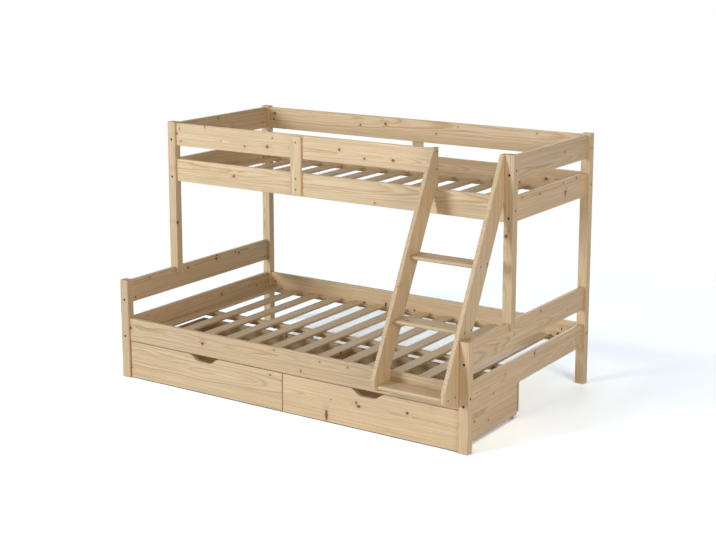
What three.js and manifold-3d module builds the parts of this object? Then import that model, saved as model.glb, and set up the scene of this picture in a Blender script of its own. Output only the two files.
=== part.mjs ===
// Pine bunk bed for three sleepers: a narrow bunk above a wide bed, a leaning ladder and two drawers.
// Millimetres, +Z up. The bed is laid out from its left front floor corner, with X along the length
// and Y towards the wall, and the finished group is centred over its own footprint at the end.

import * as THREE from 'three';
import { mergeVertices } from 'three/addons/utils/BufferGeometryUtils.js';
import Module from 'manifold-3d';

// Overall sizes of the frame
const bedLength = 2080;
const bedDepth = 1270;
const upperDepth = 870;
const fullHigh = 1310;
const lowPostHigh = 524;

// Timber stock
const postWidth = 50;
const postDepth = 45;
const postEase = 3;
const boardThick = 21;
const boardHigh = 120;
const boardEase = 2.5;
const slatWide = 66;
const slatThick = 12;
const slatEase = 1.5;
const outlineEase = 1.5;
const roundSteps = 2;
const chamferSteps = 1;

// Heights of the four levels of boards, each at the board's lower edge, with the bolt of its end board
// and the bolt of its rail above it
const postProud = 6;
const guardRise = 193;
const guardZ = fullHigh - postProud - boardHigh;
const levels = {
  bed: { z: 200, bolt: 24, rail: 59 },
  headboard: { z: lowPostHigh - postProud - boardHigh, bolt: 21 },
  bunk: { z: guardZ - guardRise, bolt: 23, rail: 58 },
  guard: { z: guardZ, bolt: 32, rail: 53 },
};
const rearBedRail = 68;
const tongueDrop = 36;

// Slats, the strips that carry them and the middle beam
const slatCount = 14;
const slatMargin = 18;
const stripWide = 18;
const bedSlatRise = 24;
const beamWide = 45;
const legWide = 50;
const legInset = 718;

// Battens across the guards
const battenFrontX = 812;
const battenRearX = 1010;
const battenLow = 9;
const battenTopDrop = 6;

// Ladder
const ladderWide = 390;
const stringerWide = 112;
const hookDrop = 5;
const seatRise = 6;
const footRise = 16;
const footReach = 134;
const footTilt = 46;
const treadCount = 3;
const firstTread = 280;
const treadRise = 276;
const treadDeep = 96;
const treadThick = 18;
const treadSetback = 32;
const treadNose = 7;

// Drawers
const drawerGap = 4;
const drawerRearGap = 8.5;
const drawerSideThick = 15;
const drawerSideInset = 2;
const drawerBoxLow = 13;
const drawerBoxHigh = 177;
const drawerBackRaise = 11;
const panelThick = 5;
const panelLift = 23;
const grooveDeep = 6;
const gripWide = 172;
const gripDeep = 31;
const gripRun = 62;
const gripEase = 27;

// Castors let into pockets in the lower edges of the drawers' sides
const wheelRadius = 15;
const wheelWide = 8;
const wheelEase = 1.5;
const wheelInset = 28;
const wheelAir = 0.8;
const axleRadius = 3;
const axleClearance = 0.1;
const wheelSides = 24;
const pocketAir = 2;
const castorPlateThick = 2.5;
const castorWing = 26;
const castorWingHigh = 13;
const castorRound = 7;
const castorTopGap = 2;
const castorScrewRadius = 1.8;
const castorScrewInset = 4.5;

// Knock-down bolts: a sunk head in the post, a bore into the board's end and a blind cross hole for the nut
const boltRadius = 3.5;
const headRadius = 6.5;
const headDeep = 7;
const nutRadius = 5;
const nutInset = 32;
const nutSkin = 5;
const boreSides = 12;

// Air left between two pieces that touch, and how far a cutter reaches past the face it cuts
const fit = 0.2;
const past = 1;

// Places that follow from the sizes
const innerLeft = postWidth;
const innerRight = bedLength - postWidth;
const boardInsetX = (postWidth - boardThick) / 2;
const boardInsetY = (postDepth - boardThick) / 2;
const endInner = boardInsetX + boardThick;
const upperFront = bedDepth - upperDepth;
const rearPostY = bedDepth - postDepth;
const frontRailY = boardInsetY;
const upperRailY = upperFront + boardInsetY;
const rearRailY = rearPostY + boardInsetY;
const bunkTop = levels.bunk.z + boardHigh;
const beamFront = (bedDepth - beamWide) / 2;
const ladderLeft = innerRight - ladderWide;

const wasm = await Module();
wasm.setup();

const pine = new THREE.MeshStandardMaterial({ color: 0xdcc195, roughness: 0.62, metalness: 0 });
const pinePale = new THREE.MeshStandardMaterial({ color: 0xe3cba2, roughness: 0.66, metalness: 0 });
const plywood = new THREE.MeshStandardMaterial({ color: 0xcfae7c, roughness: 0.7, metalness: 0 });
const blackPlastic = new THREE.MeshStandardMaterial({ color: 0x26262a, roughness: 0.5, metalness: 0 });
const greyPlastic = new THREE.MeshStandardMaterial({ color: 0x4a4a4e, roughness: 0.45, metalness: 0 });

const bed = new THREE.Group();

// A closed geometry becomes a solid that can be joined and cut
function toSolid(geometry) {
  const bare = geometry.clone();
  bare.deleteAttribute('normal');
  bare.deleteAttribute('uv');
  const merged = mergeVertices(bare, 1e-3);
  const vertProperties = new Float32Array(merged.attributes.position.array);
  const triVerts = new Uint32Array(merged.index.array);
  return new wasm.Manifold(new wasm.Mesh({ numProp: 3, vertProperties, triVerts }));
}

function toGeometry(solid) {
  const mesh = solid.getMesh();
  const geometry = new THREE.BufferGeometry();
  geometry.setAttribute('position', new THREE.BufferAttribute(mesh.vertProperties, 3));
  geometry.setIndex(new THREE.BufferAttribute(mesh.triVerts, 1));
  return geometry;
}

function cut(geometry, cutters) {
  const solid = cutters.reduce((body, cutter) => body.subtract(toSolid(cutter)), toSolid(geometry));
  return toGeometry(solid);
}

function join(geometries) {
  const [first, ...rest] = geometries.map(toSolid);
  return toGeometry(rest.reduce((body, piece) => body.add(piece), first));
}

function place(name, material, geometry, x, y, z, parent = bed) {
  const mesh = new THREE.Mesh(geometry, material);
  mesh.name = name;
  mesh.position.set(x, y, z);
  parent.add(mesh);
  return mesh;
}

// Turns a section drawn in XY and extruded along Z so that the extrusion runs along the given axis
function turn(geometry, along) {
  const x = new THREE.Vector3(1, 0, 0);
  const y = new THREE.Vector3(0, 1, 0);
  const z = new THREE.Vector3(0, 0, 1);
  const basis = { x: [y, z, x], y: [z, x, y], z: [x, y, z] }[along];
  return geometry.applyMatrix4(new THREE.Matrix4().makeBasis(...basis));
}

function extrude(shape, length, along, ease = 0) {
  const bevel = { bevelThickness: ease, bevelSize: ease, bevelOffset: -ease, bevelSegments: 1 };
  const options = { depth: length - 2 * ease, bevelEnabled: ease > 0, curveSegments: 6, ...bevel };
  return turn(new THREE.ExtrudeGeometry(shape, options).translate(0, 0, ease), along);
}

// A rectangle with its low corner at the origin and each corner rounded, or chamfered in one step
function easedRectangle(width, height, radius, steps) {
  const shape = new THREE.Shape();
  const quarter = Math.PI / 2;
  const centres = [
    [width - radius, radius],
    [width - radius, height - radius],
    [radius, height - radius],
    [radius, radius],
  ];
  const points = centres.flatMap(([cx, cy], corner) =>
    Array.from({ length: steps + 1 }, (_, step) => {
      const angle = (corner - 1 + step / steps) * quarter;
      return new THREE.Vector2(cx + radius * Math.cos(angle), cy + radius * Math.sin(angle));
    }));
  return shape.setFromPoints(points);
}

// A sawn piece with eased long edges, its low corner at the origin and its grain along one axis
function timber(along, [sizeX, sizeY, sizeZ], ease, steps = roundSteps) {
  const [width, height, length] = {
    x: [sizeY, sizeZ, sizeX],
    y: [sizeZ, sizeX, sizeY],
    z: [sizeX, sizeY, sizeZ],
  }[along];
  return extrude(easedRectangle(width, height, ease, steps), length, along);
}

function block(sizeX, sizeY, sizeZ, x, y, z) {
  const geometry = new THREE.BoxGeometry(sizeX, sizeY, sizeZ);
  return geometry.translate(x + sizeX / 2, y + sizeY / 2, z + sizeZ / 2);
}

// A round bore that starts at a point and runs a signed length along one axis
function bore(along, radius, length, x, y, z, sides = boreSides) {
  const geometry = new THREE.CylinderGeometry(radius, radius, Math.abs(length), sides);
  geometry.rotateX(Math.PI / 2).translate(0, 0, length / 2);
  return turn(geometry, along).translate(x, y, z);
}

// Posts: a bolt's bore runs right through, with its head sunk into the outer face
function boltBore(along, outward, width, x, y, z) {
  const start = outward > 0 ? width + past : -past;
  const at = { x: [start, y, z], y: [x, start, z] }[along];
  const through = bore(along, boltRadius, -outward * (width + 2 * past), ...at);
  const head = bore(along, headRadius, -outward * (headDeep + past), ...at);
  return [through, head];
}

function post(name, x, y, z, high, endLevels, railLevels, extra = []) {
  const outwardX = x < bedLength / 2 ? -1 : 1;
  const outwardY = y > bedDepth / 2 ? 1 : -1;
  const endBolts = endLevels.flatMap((level) =>
    boltBore('y', outwardY, postDepth, postWidth / 2, 0, level.z + level.bolt - z));
  const railBolts = railLevels.flatMap((level) =>
    boltBore('x', outwardX, postWidth, 0, postDepth / 2, level.z + level.rail - z));
  const geometry = timber('z', [postWidth, postDepth, high], postEase);
  place(name, pine, cut(geometry, [...endBolts, ...railBolts, ...extra]), x, y, z);
}

const postXs = { left: 0, right: bedLength - postWidth };
const tongueLow = levels.headboard.z + boardHigh - tongueDrop;
const forkSize = [boardThick + 2 * fit, postDepth + 2 * past, tongueDrop + past + fit];
const forkSlot = block(...forkSize, boardInsetX - fit, -past, -past);
for (const [side, x] of Object.entries(postXs)) {
  post(`post_front_${side}`, x, 0, 0, lowPostHigh, [levels.bed, levels.headboard], [levels.bed]);
  post(`post_upper_${side}`, x, upperFront, tongueLow, fullHigh - tongueLow,
    [levels.bunk, levels.guard], [levels.bunk, levels.guard], [forkSlot]);
  post(`post_rear_${side}`, x, rearPostY, 0, fullHigh,
    Object.values(levels), [{ ...levels.bed, rail: rearBedRail }, levels.bunk, levels.guard]);
}

// Boards: each bolted end has a bore along the grain that meets a cross hole from the inner face
function boltedEnd(along, inward, length, atStart, boltHeight) {
  const reach = (nutInset + nutRadius) * (atStart ? 1 : -1);
  const start = atStart ? -past : length + past;
  const nut = atStart ? nutInset : length - nutInset;
  const middle = boardThick / 2;
  const innerFace = inward > 0 ? boardThick + past : -past;
  const nutReach = -inward * (boardThick - nutSkin + past);
  if (along === 'x') {
    return [
      bore('x', boltRadius, reach, start, middle, boltHeight),
      bore('y', nutRadius, nutReach, nut, innerFace, boltHeight),
    ];
  }
  return [
    bore('y', boltRadius, reach, middle, start, boltHeight),
    bore('x', nutRadius, nutReach, innerFace, nut, boltHeight),
  ];
}

function board(name, along, inward, length, boltHeight, ends, x, y, z) {
  const size = along === 'x' ? [length, boardThick, boardHigh] : [boardThick, length, boardHigh];
  const bores = ends.flatMap((atStart) => boltedEnd(along, inward, length, atStart, boltHeight));
  place(name, pine, cut(timber(along, size, boardEase), bores), x, y, z);
}

const endPlaces = {
  left: { x: boardInsetX, inward: 1 },
  right: { x: bedLength - boardInsetX - boardThick, inward: -1 },
};
const endBoards = {
  bed: { level: levels.bed, front: postDepth },
  headboard: { level: levels.headboard, front: postDepth },
  bunk: { level: levels.bunk, front: upperFront + postDepth },
  guard: { level: levels.guard, front: upperFront + postDepth },
};
const bothEnds = [true, false];
for (const [side, { x, inward }] of Object.entries(endPlaces)) {
  for (const [name, { level, front }] of Object.entries(endBoards)) {
    const length = rearPostY - front - 2 * fit;
    board(`end_board_${name}_${side}`, 'y', inward, length, level.bolt, bothEnds, x, front + fit, level.z);
  }
}

const railLength = innerRight - innerLeft - 2 * fit;
const railX = innerLeft + fit;
const { bed: bedLevel, bunk: bunkLevel, guard: guardLevel } = levels;
board('rail_bed_front', 'x', 1, railLength, bedLevel.rail, bothEnds, railX, frontRailY, bedLevel.z);
board('rail_bed_rear', 'x', -1, railLength, rearBedRail, bothEnds, railX, rearRailY, bedLevel.z);
board('rail_bunk_front', 'x', 1, railLength, bunkLevel.rail, bothEnds, railX, upperRailY, bunkLevel.z);
board('rail_bunk_rear', 'x', -1, railLength, bunkLevel.rail, bothEnds, railX, rearRailY, bunkLevel.z);
board('guard_rear', 'x', -1, railLength, guardLevel.rail, bothEnds, railX, rearRailY, guardLevel.z);
const guardLength = ladderLeft - innerLeft - 2 * fit;
board('guard_front', 'x', 1, guardLength, guardLevel.rail, [true], railX, upperRailY, guardLevel.z);

// Battens of slat stock fill the recess between the boards' faces and the posts' faces
const battenThick = boardInsetY - fit;
const battenZ = levels.bunk.z + battenLow;
const battenHigh = levels.guard.z + boardHigh - battenTopDrop - battenZ;
const battenSize = [slatWide, battenThick, battenHigh];
const batten = timber('z', battenSize, slatEase, chamferSteps);
place('batten_front', pinePale, batten, battenFrontX, upperFront, battenZ);
place('batten_rear', pinePale, batten, battenRearX, bedDepth - battenThick, battenZ);

// Slats: an even row between the end boards, joined with the rear strip that carries it
const slatRun = bedLength - 2 * endInner - 2 * slatMargin - slatWide;
const slatPitch = slatRun / (slatCount - 1);
const slatRear = rearRailY - fit;
const strip = timber('x', [railLength, stripWide, slatThick], slatEase, chamferSteps);
function slatsOnStrip(front, z) {
  const slat = timber('y', [slatWide, slatRear - front, slatThick], slatEase, chamferSteps);
  const starts = Array.from({ length: slatCount }, (_, i) => endInner + slatMargin + i * slatPitch);
  const slats = starts.map((x) => slat.clone().translate(x, front, z));
  return join([strip.clone().translate(railX, slatRear - stripWide, z - slatThick), ...slats]);
}

const bedSlatZ = levels.bed.z + bedSlatRise;
const bunkSlatZ = levels.bunk.z + slatThick;
const bedSlatFront = frontRailY + boardThick + fit;
const bunkSlatFront = upperRailY + boardThick + fit;
place('slats_bed', pinePale, slatsOnStrip(bedSlatFront, bedSlatZ), 0, 0, 0);
place('slats_bunk', pinePale, slatsOnStrip(bunkSlatFront, bunkSlatZ), 0, 0, 0);

const stripSeat = slatThick + fit;
place('strip_bed_front', pine, strip, railX, bedSlatFront, bedSlatZ - stripSeat);
place('strip_bunk_front', pine, strip, railX, bunkSlatFront, bunkSlatZ - stripSeat);

const beamLength = bedLength - 2 * endInner - 2 * fit;
const beam = timber('x', [beamLength, beamWide, bedSlatRise - fit], slatEase, chamferSteps);
place('beam_bed', pine, beam, endInner + fit, beamFront, levels.bed.z);

const legHigh = levels.bed.z - fit;
for (const [side, x] of Object.entries({ left: legInset, right: bedLength - legInset - legWide })) {
  place(`leg_${side}`, pine, timber('z', [legWide, beamWide, legHigh], postEase), x, beamFront, 0);
}

// Ladder: the back edge runs from its seat on the bed rail to the bunk rail's upper edge, which it hooks over
const railFace = frontRailY - fit;
const bunkFace = upperRailY - fit;
const hookZ = bunkTop - hookDrop;
const seatTop = levels.bed.z + boardHigh + seatRise;
const lean = (bunkFace - railFace) / (hookZ - seatTop);
const widthAcross = stringerWide * Math.hypot(1, lean);
const backAt = (z) => railFace + (z - seatTop) * lean;
const frontAt = (z) => backAt(z) - widthAcross;
const zAtFront = (y) => seatTop + (y + widthAcross - railFace) / lean;
const footZ = levels.bed.z + footRise;
const footFront = railFace - footReach;
const guardBack = upperRailY + boardThick;

function stringerOutline() {
  const outline = new THREE.Shape();
  outline.moveTo(railFace, footZ);
  outline.lineTo(railFace, seatTop);
  outline.lineTo(bunkFace, hookZ);
  outline.lineTo(bunkFace, bunkTop + fit);
  outline.lineTo(guardBack, bunkTop + fit);
  outline.lineTo(guardBack, fullHigh);
  outline.lineTo(frontAt(fullHigh), fullHigh);
  outline.lineTo(footFront, zAtFront(footFront));
  outline.lineTo(footFront, footZ + footTilt);
  return outline;
}

const stringerXs = { left: ladderLeft, right: innerRight - boardThick - fit };
for (const [side, x] of Object.entries(stringerXs)) {
  place(`stringer_${side}`, pine, extrude(stringerOutline(), boardThick, 'x', outlineEase), x, 0, 0);
}

// Treads lie flat between the stringers, with a rounded front edge
function treadOutline() {
  const outline = new THREE.Shape();
  outline.moveTo(treadNose, 0);
  outline.lineTo(treadDeep, 0);
  outline.lineTo(treadDeep, treadThick);
  outline.lineTo(treadNose, treadThick);
  outline.absarc(treadNose, treadThick - treadNose, treadNose, Math.PI / 2, Math.PI);
  outline.lineTo(0, treadNose);
  outline.absarc(treadNose, treadNose, treadNose, Math.PI, 1.5 * Math.PI);
  return outline;
}

const treadX = stringerXs.left + boardThick + fit;
const treadLength = stringerXs.right - fit - treadX;
for (let i = 0; i < treadCount; i += 1) {
  const top = firstTread + i * treadRise;
  const geometry = extrude(treadOutline(), treadLength, 'x');
  place(`tread_${i + 1}`, pinePale, geometry, treadX, frontAt(top) + treadSetback, top - treadThick);
}

// Drawers: a wide front with a finger cut-out, and a box on castors with its panel let into grooves
const drawerWide = (innerRight - innerLeft - 3 * drawerGap) / 2;
const frontHigh = levels.bed.z - 2 * drawerGap;
const boxTop = drawerBoxLow + drawerBoxHigh;
const backThick = boardThick;
const drawerDepth = beamFront - frontRailY - drawerRearGap;
const sideLength = drawerDepth - boardThick - backThick - 2 * fit;
const boxWide = drawerWide - 2 * drawerSideInset;
const insideWide = boxWide - 2 * drawerSideThick;
const panelZ = drawerBoxLow + panelLift;
const grooveHigh = panelThick + 2 * fit;
const backLow = drawerBoxLow + drawerBackRaise;

// The finger cut-out dips from the top edge in two S-shaped shoulders to a short flat floor
function drawerFrontOutline() {
  const top = frontHigh;
  const floor = top - gripDeep;
  const right = (drawerWide + gripWide) / 2;
  const left = (drawerWide - gripWide) / 2;
  const ease = gripEase;
  const run = gripRun;
  const outline = new THREE.Shape();
  outline.moveTo(0, 0);
  outline.lineTo(drawerWide, 0);
  outline.lineTo(drawerWide, top);
  outline.lineTo(right, top);
  outline.bezierCurveTo(right - ease, top, right - run + ease, floor, right - run, floor);
  outline.lineTo(left + run, floor);
  outline.bezierCurveTo(left + run - ease, floor, left + ease, top, left, top);
  outline.lineTo(0, top);
  return outline;
}

function panelGroove(low, y) {
  const long = insideWide + 2 * grooveDeep;
  const x = drawerSideInset + drawerSideThick - grooveDeep;
  return block(long, grooveDeep + past, grooveHigh, x, y, panelZ - fit - low);
}

// A side's section carries the groove along its whole length, above the pockets for the wheels
function drawerSideSection(inwardRight) {
  const grooveLow = panelLift - fit;
  const grooveFloor = drawerSideThick - grooveDeep;
  const section = [
    [0, 0],
    [drawerSideThick, 0],
    [drawerSideThick, grooveLow],
    [grooveFloor, grooveLow],
    [grooveFloor, grooveLow + grooveHigh],
    [drawerSideThick, grooveLow + grooveHigh],
    [drawerSideThick, drawerBoxHigh],
    [0, drawerBoxHigh],
  ];
  const points = section.map(([x, z]) => new THREE.Vector2(z, inwardRight ? x : drawerSideThick - x));
  return new THREE.Shape(points);
}

const pocketDeep = wheelWide + 2 * wheelAir;
const wheelYs = { front: wheelInset, rear: sideLength + fit - wheelInset };
function drawerSide(inwardRight) {
  const x = inwardRight ? drawerSideThick - pocketDeep : -past;
  const half = wheelRadius + pocketAir;
  const high = wheelRadius + half - drawerBoxLow;
  const pocket = block(pocketDeep + past, 2 * half, high + past, x, -half, -past);
  const pockets = Object.values(wheelYs).map((y) => pocket.clone().translate(0, y, 0));
  return cut(extrude(drawerSideSection(inwardRight), sideLength, 'y'), pockets);
}

// A castor: a plate on the side's inner face that tapers to a rounded end, with the axle pin in its middle
function castorBracket(inward) {
  const top = panelZ - castorTopGap - wheelRadius;
  const low = top - castorWingHigh;
  const outline = new THREE.Shape();
  outline.moveTo(-castorWing, top);
  outline.lineTo(-castorWing, low);
  outline.lineTo(-castorRound, 0);
  outline.absarc(0, 0, castorRound, Math.PI, 2 * Math.PI);
  outline.lineTo(castorWing, low);
  outline.lineTo(castorWing, top);
  for (const y of [castorScrewInset - castorWing, castorWing - castorScrewInset]) {
    const hole = new THREE.Path();
    outline.holes.push(hole.absarc(y, (top + low) / 2, castorScrewRadius, 0, 2 * Math.PI));
  }
  const seat = pocketDeep / 2 + fit;
  const plate = extrude(outline, castorPlateThick, 'x');
  plate.translate(inward > 0 ? seat : -seat - castorPlateThick, 0, 0);
  const root = inward * (seat + castorPlateThick / 2);
  const pin = bore('x', axleRadius, -inward * (pocketDeep + castorPlateThick / 2), root, 0, 0, wheelSides);
  return join([plate, pin]);
}

function wheel() {
  const inner = axleRadius + axleClearance;
  const half = wheelWide / 2;
  const profile = [
    [inner, -half],
    [wheelRadius - wheelEase, -half],
    [wheelRadius, wheelEase - half],
    [wheelRadius, half - wheelEase],
    [wheelRadius - wheelEase, half],
    [inner, half],
    [inner, -half],
  ].map(([r, y]) => new THREE.Vector2(r, y));
  return new THREE.LatheGeometry(profile, wheelSides).rotateZ(-Math.PI / 2);
}

function drawer(side, left) {
  const group = new THREE.Group();
  group.position.set(left, frontRailY, 0);
  bed.add(group);
  const boxY = boardThick + fit;
  const backY = boxY + sideLength + fit;
  const leftSide = drawerSideInset;
  const rightSide = drawerWide - drawerSideInset - drawerSideThick;

  const outline = extrude(drawerFrontOutline(), boardThick, 'z', outlineEase);
  outline.rotateX(Math.PI / 2).translate(0, boardThick, 0);
  const front = cut(outline, [panelGroove(drawerGap, boardThick - grooveDeep)]);
  place(`drawer_front_${side}`, pine, front, 0, 0, drawerGap, group);

  place(`drawer_side_outer_${side}`, pine, drawerSide(true), leftSide, boxY, drawerBoxLow, group);
  place(`drawer_side_inner_${side}`, pine, drawerSide(false), rightSide, boxY, drawerBoxLow, group);

  const backHigh = boxTop - backLow;
  const back = cut(timber('x', [boxWide, backThick, backHigh], outlineEase, chamferSteps),
    [panelGroove(backLow, -past).translate(-drawerSideInset, 0, 0)]);
  place(`drawer_back_${side}`, pine, back, drawerSideInset, backY, backLow, group);

  const tongue = grooveDeep - fit;
  const panelWide = insideWide + 2 * tongue;
  const panelDeep = sideLength + 2 * fit + 2 * tongue;
  const panel = block(panelWide, panelDeep, panelThick, 0, 0, 0);
  const panelX = leftSide + drawerSideThick - tongue;
  place(`drawer_panel_${side}`, plywood, panel, panelX, boardThick - tongue, panelZ, group);

  const wheelX = drawerSideInset + drawerSideThick - pocketDeep / 2;
  const wheelXs = { left: { x: wheelX, inward: 1 }, right: { x: drawerWide - wheelX, inward: -1 } };
  for (const [end, y] of Object.entries(wheelYs)) {
    for (const [hand, { x, inward }] of Object.entries(wheelXs)) {
      const corner = `${side}_${end}_${hand}`;
      place(`castor_${corner}`, blackPlastic, castorBracket(inward), x, boxY + y, wheelRadius, group);
      place(`wheel_${corner}`, greyPlastic, wheel(), x, boxY + y, wheelRadius, group);
    }
  }
}

drawer('left', innerLeft + drawerGap);
drawer('right', innerLeft + 2 * drawerGap + drawerWide);

// The origin lies on the floor under the middle of the whole bed, with the ladder's foot
bed.position.set(-bedLength / 2, -(bedDepth + footFront) / 2, 0);
const bunkBed = new THREE.Group();
bunkBed.add(bed);

export default bunkBed;
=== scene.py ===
# %% [markdown]
# # A pine bunk bed for three, with a leaning ladder and two drawers
# The timber itself comes ready from the CAD model: posts, boards, slats, ladder and drawers. This lesson
# gives every board the look of planed and lacquered pine, shapes the drawers' fronts once more, adds the
# metal fasteners that hold the bed together, and sets up a plain studio around it. All lengths are in
# metres unless a name says millimetres.

# %% Load the frame
import math

import bmesh
import bpy
from mathutils import Euler, Matrix, Vector


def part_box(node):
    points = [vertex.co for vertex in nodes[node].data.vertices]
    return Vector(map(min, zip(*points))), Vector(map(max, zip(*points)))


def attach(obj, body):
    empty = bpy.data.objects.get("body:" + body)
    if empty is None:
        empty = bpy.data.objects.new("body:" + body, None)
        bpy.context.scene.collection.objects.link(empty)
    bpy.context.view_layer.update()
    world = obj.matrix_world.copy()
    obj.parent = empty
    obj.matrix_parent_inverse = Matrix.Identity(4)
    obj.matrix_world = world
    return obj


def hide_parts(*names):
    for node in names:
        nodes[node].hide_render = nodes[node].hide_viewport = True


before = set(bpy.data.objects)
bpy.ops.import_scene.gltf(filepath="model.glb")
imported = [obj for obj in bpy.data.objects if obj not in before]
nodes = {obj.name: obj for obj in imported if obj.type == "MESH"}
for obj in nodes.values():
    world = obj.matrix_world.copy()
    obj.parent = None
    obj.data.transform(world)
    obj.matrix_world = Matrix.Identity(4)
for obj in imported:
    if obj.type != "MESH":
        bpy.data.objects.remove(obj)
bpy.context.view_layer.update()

# %% [markdown]
# ## The camera
# The bed was photographed from its right front corner, a little above the upper bunk. The upright posts stay
# nearly upright in the picture, which a photographer gets by sliding the lens down instead of tilting the
# camera. A small shift does part of that here, and the tilt does the rest.

# %% Place the camera
IMAGE_WIDE = 716
SENSOR_MM = 36
FOCAL_PIXELS = 1423.0
SHIFT_PIXELS = -80
CAMERA_AT = (3.9883, -5.8904, 2.3320)
LOOKS_DOWN = math.radians(10.468)
LOOKS_LEFT = math.radians(33.638)

view = bpy.data.cameras.new("camera")
view.sensor_width = SENSOR_MM
view.lens = FOCAL_PIXELS * SENSOR_MM / IMAGE_WIDE
view.shift_y = SHIFT_PIXELS / IMAGE_WIDE
camera = bpy.data.objects.new("camera", view)
camera.location = CAMERA_AT
camera.rotation_euler = (math.radians(90) - LOOKS_DOWN, 0, LOOKS_LEFT)
bpy.context.scene.collection.objects.link(camera)
bpy.context.scene.camera = camera
print(f"lens {view.lens:.1f} mm, shift {view.shift_y:.3f}")

# %% [markdown]
# ## Helpers for materials
# Web colours are stored with a curve that suits screens, and the renderer needs them straight, so one
# function converts them. Another adds any shader node with its settings and its links, which keeps a long
# material readable as a list of steps. A third starts a material with nothing in it.


# %% Colour and node helpers
def straight(colour):
    """Turns an sRGB hex colour into the linear values that the renderer works with."""
    parts = [int(colour[i:i + 2], 16) / 255 for i in (0, 2, 4)]
    return [c / 12.92 if c <= 0.04045 else ((c + 0.055) / 1.055) ** 2.4 for c in parts] + [1.0]


def add(tree, kind, inputs=(), stops=(), **settings):
    """Adds one node. inputs gives each socket a value, a node (its first output) or a socket."""
    made = tree.nodes.new(kind)
    for key, value in settings.items():
        setattr(made, key, value)
    for key, value in dict(inputs).items():
        source = value.outputs[0] if isinstance(value, bpy.types.Node) else value
        if isinstance(source, bpy.types.NodeSocket):
            tree.links.new(source, made.inputs[key])
        else:
            made.inputs[key].default_value = source
    for index, (position, colour) in enumerate(stops):
        elements = made.color_ramp.elements
        stop = elements[index] if index < len(elements) else elements.new(position)
        stop.position = position
        stop.color = colour
    return made


def blank_material(name):
    """A new material and its empty node tree."""
    material = bpy.data.materials.new(name)
    material.use_nodes = True
    material.node_tree.nodes.clear()
    return material, material.node_tree


MATH = "ShaderNodeMath"
MIX = "ShaderNodeMix"
NOISE = "ShaderNodeTexNoise"
RAMP = "ShaderNodeValToRGB"
SPAN = "ShaderNodeMapRange"
SPLIT = "ShaderNodeSeparateXYZ"
JOIN = "ShaderNodeCombineXYZ"
VECTOR = "ShaderNodeVectorMath"
print("straight white is", straight("ffffff"))

# %% [markdown]
# ## Planed pine
# A pine trunk adds one pale and one dark layer each year around its pith, and branches leave the pith as
# knots. A plank shows whatever the saw met of that. So the material is built like the trunk and not like
# the plank: distance from the pith gives the rings, angle and height give the knots, and each plank then
# only says where in the trunk it was sawn. Faces, edges and end grain fit together by themselves.


# %% The trunk that every plank is sawn from
def drawn_out(length_mm, width_mm):
    """How much to shrink millimetres so that a noise comes out this long with the grain and this wide."""
    return 1 / length_mm, 1 / width_mm, 1 / width_mm


trunk = bpy.data.node_groups.new("pine_trunk", "ShaderNodeTree")
for name, kind, side in (
    ("Point", "NodeSocketVector", "INPUT"),
    ("End", "NodeSocketFloat", "INPUT"),
    ("Tone", "NodeSocketFloat", "INPUT"),
    ("Knots", "NodeSocketFloat", "INPUT"),
    ("Color", "NodeSocketColor", "OUTPUT"),
    ("Roughness", "NodeSocketFloat", "OUTPUT"),
    ("Height", "NodeSocketFloat", "OUTPUT"),
):
    trunk.interface.new_socket(name=name, in_out=side, socket_type=kind)

given = add(trunk, "NodeGroupInput")
point = given.outputs["Point"]
along, across, deep = add(trunk, SPLIT, {0: point}).outputs
section = add(trunk, JOIN, {1: across, 2: deep})
radius = add(trunk, VECTOR, {0: section}, operation="LENGTH").outputs["Value"]
angle = add(trunk, MATH, {0: deep, 1: across}, operation="ARCTAN2")
print("sockets of the trunk:", [item.name for item in trunk.interface.items_tree])

# %% [markdown]
# Knots: one branch at most in each cell of a grid of height and angle. The cell's own random colour decides
# whether there is a branch and how thick it is, and the distance to it is measured in real millimetres.
# A branch leaves the pith at a slant, so its cut is a little longer with the grain than across it.

# %% Knots
KNOT_ROW_MM = 150
KNOT_CELLS_PER_RADIAN = 0.95
KNOT_SCATTER = 0.9
KNOT_SLANT = 0.8
KNOT_LEAST_MM = 2.6
KNOT_MORE_MM = 5.0
KNOT_RARELY_THICK = 2.0
KNOT_FADE = -0.62
KNOT_RIM = (1.2, 0.9)
RAGGED_MM = 3.0
RAGGED_PER_MM = 0.22

row = add(trunk, MATH, {0: along, 1: KNOT_ROW_MM}, operation="DIVIDE")
turn = add(trunk, MATH, {0: angle, 1: KNOT_CELLS_PER_RADIAN}, operation="MULTIPLY")
cell = add(trunk, "ShaderNodeTexVoronoi", {"Vector": add(trunk, JOIN, {0: row, 1: turn}), "Scale": 1.0,
           "Randomness": KNOT_SCATTER}, voronoi_dimensions="2D")
branch = add(trunk, SPLIT, {0: cell.outputs["Position"]})
chance = add(trunk, SPLIT, {0: cell.outputs["Color"]})
row_gap = add(trunk, MATH, {0: row, 1: branch.outputs[0]}, operation="SUBTRACT")
row_mm = add(trunk, MATH, {0: row_gap, 1: KNOT_ROW_MM}, operation="MULTIPLY")
turn_gap = add(trunk, MATH, {0: turn, 1: branch.outputs[1]}, operation="SUBTRACT")
turn_radians = add(trunk, MATH, {0: turn_gap, 1: KNOT_CELLS_PER_RADIAN}, operation="DIVIDE")
turn_mm = add(trunk, MATH, {0: turn_radians, 1: radius}, operation="MULTIPLY")
row_slanted = add(trunk, MATH, {0: row_mm, 1: KNOT_SLANT}, operation="MULTIPLY")
knot_offset = add(trunk, JOIN, {0: row_slanted, 1: turn_mm})
knot_distance = add(trunk, VECTOR, {0: knot_offset}, operation="LENGTH").outputs["Value"]
ragged = add(trunk, NOISE, {"Vector": point, "Scale": RAGGED_PER_MM, "Detail": 1.0})
ragged_mm = add(trunk, MATH, {0: ragged, 1: RAGGED_MM, 2: -RAGGED_MM / 2}, operation="MULTIPLY_ADD")
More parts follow.
